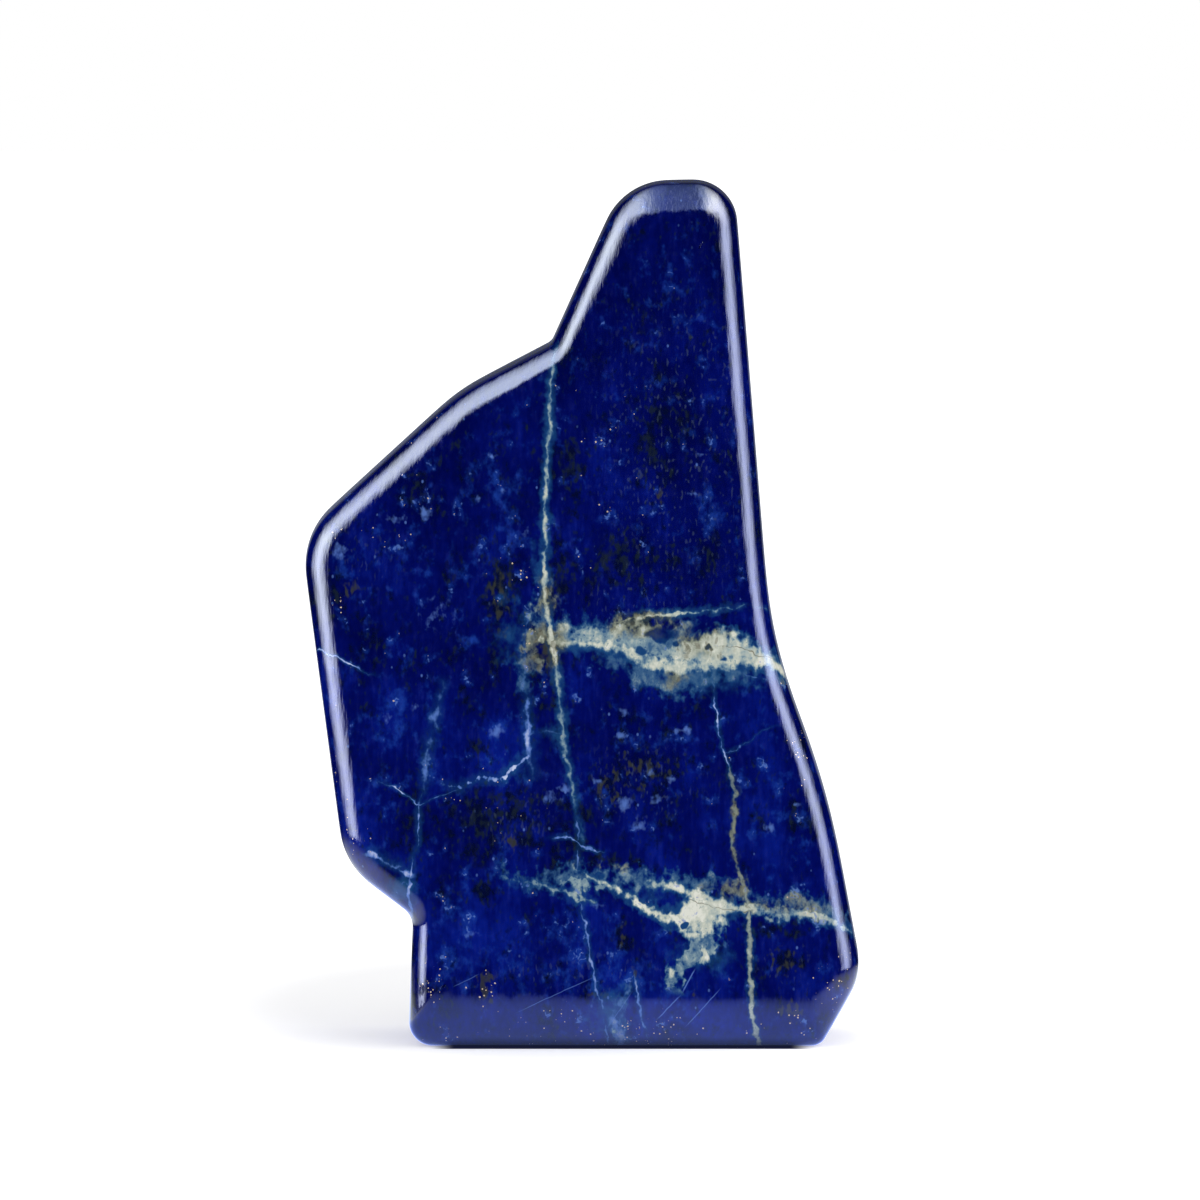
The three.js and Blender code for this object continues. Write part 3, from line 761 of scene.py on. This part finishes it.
    # pyrite: a few of many small cells, most of them where it gathers
    gold = addNode(tree, "TexVoronoi", inputs={"Vector": place, "Scale": 1 / look["pyriteSize"]})
    luck = addNode(tree, "SeparateColor", inputs={0: gold.out("Color")})
    grains = gold + luck.out("Green") * 0.22 + (grain - 0.5) * 0.5
    gathered = luck.out("Red") + spotField("pyriteSpots", facePlace) * 1.5 + (wisps - 0.5) * 1.6
    pyrite = cover("pyrite", grains, gathered)
    colour = colour.tint(look["pyrite"], pyrite * look["pyriteColour"])

    # polish, a little duller on the pyrite and where it is brushed
    brushed = (streaks * 0.6 + fine * 0.4).fade(*look["brushedLevels"])
    rough = look["roughness"] + pyrite * look["pyriteRoughness"] + brushed * look["brushedRoughness"]
    rubbed = streaks * 0.4 + texture("rubbing") * 0.6
    marks = {"Distance": look["polishMarks"], "Height": rubbed}
    bump = addNode(tree, "Bump", inputs=marks, output="Normal")
    metal = pyrite * look["pyriteMetal"]
    for name, wire in {"Base Color": colour, "Metallic": metal, "Roughness": rough, "Normal": bump}.items():
        tree.links.new(wire.socket, shader.inputs[name])
    return material


stone.data.materials.clear()
stone.data.materials.append(makeLapis(lapisLook))
print("lapis polished")


# studio
studioLook = {
    "white": 1.0,
    "floorSize": 8,
    "floorTone": 0.8,
    "floorGlow": 0.55,
    "floorRoughness": 0.9,
    # the dark blue of the painted shade on the patch of floor under the foot and just in front of it
    "shadedFloor": (0.008, 0.01, 0.03, 1),
    "footMiddle": (0.0056, -0.0017),  # the patch of floor that the stone stands on
    "footHalf": (0.0262, 0.0097),
    "footEnds": (0.001, -0.003),  # from its ends, where its shade starts and where it is full
    "shade": (0.0034, 0.0044),  # how far in front of that patch the floor lies in the stone's own shade
    "mirroredShade": (0, 0.0031),
    "poolMiddle": (-0.008, 0.048),  # soft shade on the floor around the foot
    "poolHalf": (0.04, 0.065),
    "poolFade": (1.5, 0.8),
    "poolShade": 0.27,
    "haze": 1.32,  # floor close to the stone as its polish mirrors it
    "hazeTint": (0.66, 0.92, 2.2),
    "hazeReach": 0.15,
    "hazeFull": 0.01,  # within this it has its full strength
    "hazeStretch": 0.75,  # it reaches further to the sides
    "hazeHeight": 0.00002,
    "sideHaze": 1.4,  # more of it at the two sides
    "sideTint": (0.24, 0.06, -1.2),  # what they add to its tint
    "sideFade": (0.025, 0.06),
    "backGlow": 0.33,
    "backTint": (0.68, 0.76, 1),
    "backFade": (0.13, 0.06),  # heights between which the glow from behind grows to its full strength
    "upperBack": 0.35,  # its share above them
    "backCorners": ((-4, 0.5, -1), (4, 0.5, 2)),
}

# Light from all round the stone, on a panel at each side and one overhead. A ring stop is the
# direction in degrees right of upright, the tint and the strength of the light from there.
ringLook = {
    "half": 0.35,
    "middle": 0.08,
    "top": 0.6,
    "low": -0.08,
    "front": -1,
    "back": 0.49,
    "span": 300,  # degrees that the stops are spread over
    "stops": [
        (-120, (0.62, 0.68, 1), 15), (-97, (0.7, 0.76, 1), 22), (-66, (0.81, 0.89, 1), 22),
        (-44, (0.74, 0.82, 1), 16), (-26, (0.68, 0.78, 1), 15), (-12, (0.42, 0.56, 1), 6),
        (2, (0.3, 0.45, 1), 2.5), (14, (0.5, 0.62, 1), 9), (32, (0.86, 0.9, 1), 22),
        (56, (0.74, 0.79, 1), 18), (80, (0.63, 0.7, 1), 16), (120, (0.6, 0.66, 1), 12)],
    "brightest": 22,
    # slopes towards the viewer between which the light comes in, and goes out again behind
    "opening": (1.2, 0.45),
    "closing": (-0.1, 0.5),
    "upperOpening": (1.5, 1.3),
    "upperClosing": (-1, 0.5),
    # low on the left panel the light goes out sooner: how much, and how far left and down that is
    "leftShift": 0.15,
    "leftAcross": (0, -0.2),
    "leftDown": (0, -0.04),
    "lowLeft": (-0.03, 0.05),  # heights between which the left panel gets its full strength
    "lowAcross": (-0.1, 0),
    "lowShare": 0.8,
}


def showOnlyInPolish(thing):
    for ray in ("camera", "diffuse", "transmission", "volume_scatter", "shadow"):
        setattr(thing, "visible_" + ray, False)


def glowMaterial(name, brightest, glowAt):
    # glowAt gives the tint of the light and its share of the brightest, from the Object coordinates
    material = bpy.data.materials.new(name)
    material.use_nodes = True
    tree = material.node_tree
    tree.nodes.clear()
    place = addNode(tree, "SeparateXYZ", inputs={0: addNode(tree, "TexCoord", output="Object")})
    tint, share = glowAt(place.out("X"), place.out("Y"), place.out("Z"))
    colour = share.vector("MULTIPLY", tint)
    glow = addNode(tree, "Emission", inputs={"Color": colour, "Strength": brightest})
    addNode(tree, "OutputMaterial", inputs={"Surface": glow}, output=None)
    return material


def litBeside(x, y, look, reach):
    # 0 on the floor that the stone stands on and shades, 1 on the rest of it
    middle, half = look["footMiddle"], look["footHalf"]
    start, full = look["footEnds"]
    across = abs(x - middle[0]).fade(half[0] + start, half[0] + full)
    return 1 - across * abs(y - middle[1]).fade(half[1] + reach[1], half[1] + reach[0])


def addSheet(name, low, high, axis, material):
    # a flat rectangle from corner to corner, square to one axis
    middle = [(a + b) / 2 for a, b in zip(low, high)]
    turned = {0: (0, radians(90), 0), 1: (radians(90), 0, 0), 2: (0, 0, 0)}[axis]
    deselectAll()
    bpy.ops.mesh.primitive_plane_add(size=1, location=(0, 0, 0), rotation=turned)
    sheet = bpy.context.active_object
    bpy.ops.object.transform_apply(location=False, rotation=True, scale=False)
    sheet.scale = [max(b - a, 1) if i == axis else b - a for i, (a, b) in enumerate(zip(low, high))]
    sheet.location = middle
    bpy.ops.object.transform_apply(location=True, rotation=False, scale=True)
    sheet.name = name
    sheet.data.materials.append(material)
    return sheet


def makeStudio(look):
    world = bpy.data.worlds.new("studio")
    bpy.context.scene.world = world
    world.use_nodes = True
    background = world.node_tree.nodes["Background"]
    background.inputs["Color"].default_value = (1, 1, 1, 1)
    background.inputs["Strength"].default_value = look["white"]
    world.cycles_visibility.glossy = False

    pale = bpy.data.materials.new("paleFloor")
    pale.use_nodes = True
    tree = pale.node_tree
    shader = tree.nodes["Principled BSDF"]
    tone = look["floorTone"]
    shader.inputs["Roughness"].default_value = look["floorRoughness"]
    shader.inputs["Specular IOR Level"].default_value = 0
    shader.inputs["Emission Strength"].default_value = look["floorGlow"] / tone
    spot = addNode(tree, "SeparateXYZ", inputs={0: addNode(tree, "TexCoord", output="Object")})
    pool = addNode(tree, "CombineXYZ", inputs={
        key: (spot.out(key) - middle) / half
        for key, middle, half in zip("XY", look["poolMiddle"], look["poolHalf"])})
    # painted shade: the floor's colour and glow go dark on the patch under the foot, and a painted shadow
    # pool dims them softly around it
    lit = litBeside(spot.out("X"), spot.out("Y"), look, look["shade"])
    lit = lit * (1 - pool.vector("LENGTH", output="Value").fade(*look["poolFade"]) * look["poolShade"])
    ends = {0: lit, 6: look["shadedFloor"], 7: (tone, tone, tone, 1)}
    colour = addNode(tree, "Mix", {"data_type": "RGBA"}, ends, 2)
    for key in ("Base Color", "Emission Color"):
        tree.links.new(colour.socket, shader.inputs[key])
    half = look["floorSize"] / 2
    floor = addSheet("floor", (-half, -half, 0), (half, half, 0), 2, pale)
    floor.visible_glossy = False

    def haze(x, y, z):
        aside = abs(x).fade(*look["sideFade"])
        strength = look["haze"] + look["sideHaze"] * aside
        away = (x * look["hazeStretch"]).reach(y).fade(look["hazeReach"], look["hazeFull"])
        tint = aside.vector("MULTIPLY_ADD", look["sideTint"], look["hazeTint"])
        # painted shade: the mirrored floor goes dark on the patch under the foot and just in front of it
        return tint, strength * away * litBeside(x, y, look, look["mirroredShade"])

    deep, wide, up = look["hazeReach"], look["hazeReach"] / look["hazeStretch"], look["hazeHeight"]
    glow = glowMaterial("haze", 1, haze)
    showOnlyInPolish(addSheet("mirroredFloor", (-wide, -deep, up), (wide, deep, up), 2, glow))

    def backGlow(x, y, z):
        return look["backTint"], z.fade(*look["backFade"]) * (1 - look["upperBack"]) + look["upperBack"]

    glow = glowMaterial("backGlow", look["backGlow"], backGlow)
    showOnlyInPolish(addSheet("backPanel", *look["backCorners"], 1, glow))


def ringGlow(x, y, z):
    look = ringLook
    rise = z - look["middle"]
    away = x.reach(rise)
    slope = y / away * -1
    up = (rise / away).over(0)
    upright = up * up * up * up * up  # 1 only close to straight above

    def levels(sides, above):
        return (side + upright * (upper - side) for side, upper in zip(look[sides], look[above]))

    stops = [(degrees / look["span"] + 0.5, tuple(part * level / look["brightest"] for part in tint))
             for degrees, tint, level in look["stops"]]
    colour = ramp(x.maths("ARCTAN2", x, rise) / radians(look["span"]) + 0.5, stops)
    opening = slope.fade(*levels("opening", "upperOpening"))
    leftward = x.fade(*look["leftAcross"]) * z.fade(*look["leftDown"]) * look["leftShift"]
    closing = (slope - leftward).fade(*levels("closing", "upperClosing"))
    low = z.fade(*look["lowLeft"]).over(x.fade(*look["lowAcross"]))
    return colour, opening * closing * (low * (1 - look["lowShare"]) + look["lowShare"])


def makePanels(look):
    half, front, back, low, top = (look[key] for key in ("half", "front", "back", "low", "top"))
    panels = {
        "leftPanel": ((-half, front, low), (-half, back, top), 0),
        "rightPanel": ((half, front, low), (half, back, top), 0),
        "topPanel": ((-half, front, top), (half, back, top), 2),
    }
    glow = glowMaterial("ringGlow", look["brightest"], ringGlow)
    for name, (start, end, axis) in panels.items():
        showOnlyInPolish(addSheet(name, start, end, axis, glow))


makeStudio(studioLook)
makePanels(ringLook)
bpy.context.scene.view_settings.view_transform = "Standard"
print("studio lit")
